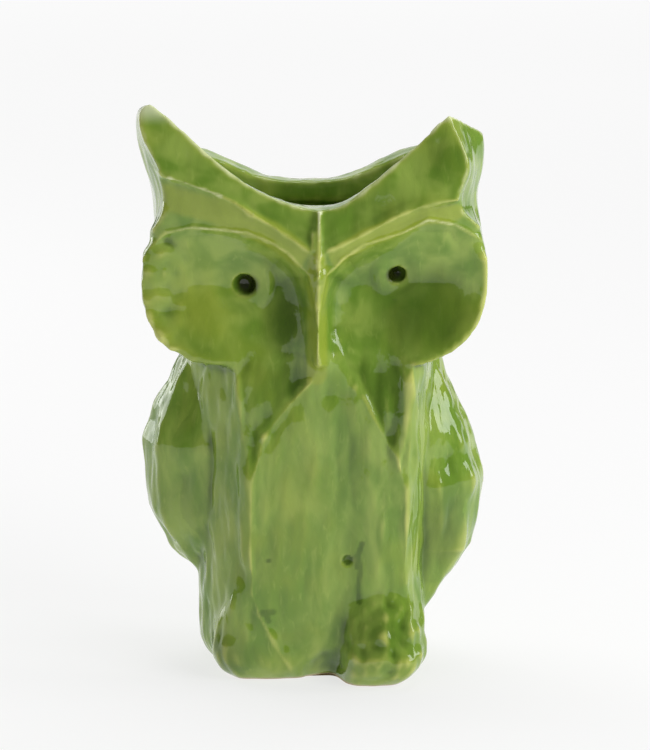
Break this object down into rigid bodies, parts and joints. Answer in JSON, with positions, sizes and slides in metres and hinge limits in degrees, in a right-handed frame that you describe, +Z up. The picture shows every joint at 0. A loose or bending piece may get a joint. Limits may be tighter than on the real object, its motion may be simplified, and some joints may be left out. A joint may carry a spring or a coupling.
{
  "type": "owl vase",
  "caption": "Hollow glazed ceramic vase shaped as a stylised owl, with dished face discs, upright ear tufts, folded wings and a wide saddle-shaped mouth.",
  "frame": {"origin": "on the standing surface, under the middle of the vase's overall width and depth", "axes": "+Z up, the owl looks along -Y, +X is on the right of someone facing it"},
  "size_m": [0.168, 0.1189, 0.2794],
  "materials": {
    "glaze": "glossy mid-green glaze over pale earthenware"
  },
  "bodies": {
    "root": {"base_slab": "glaze", "torso_wall": "glaze", "breast_panel": "glaze", "left_foot": "glaze", "right_foot": "glaze", "left_wing": "glaze", "right_wing": "glaze", "head_wall": "glaze", "left_face_disc": "glaze", "right_face_disc": "glaze", "beak": "glaze", "forehead": "glaze", "left_ear": "glaze", "right_ear": "glaze", "back_lip": "glaze"}
  },
  "joints": []
}
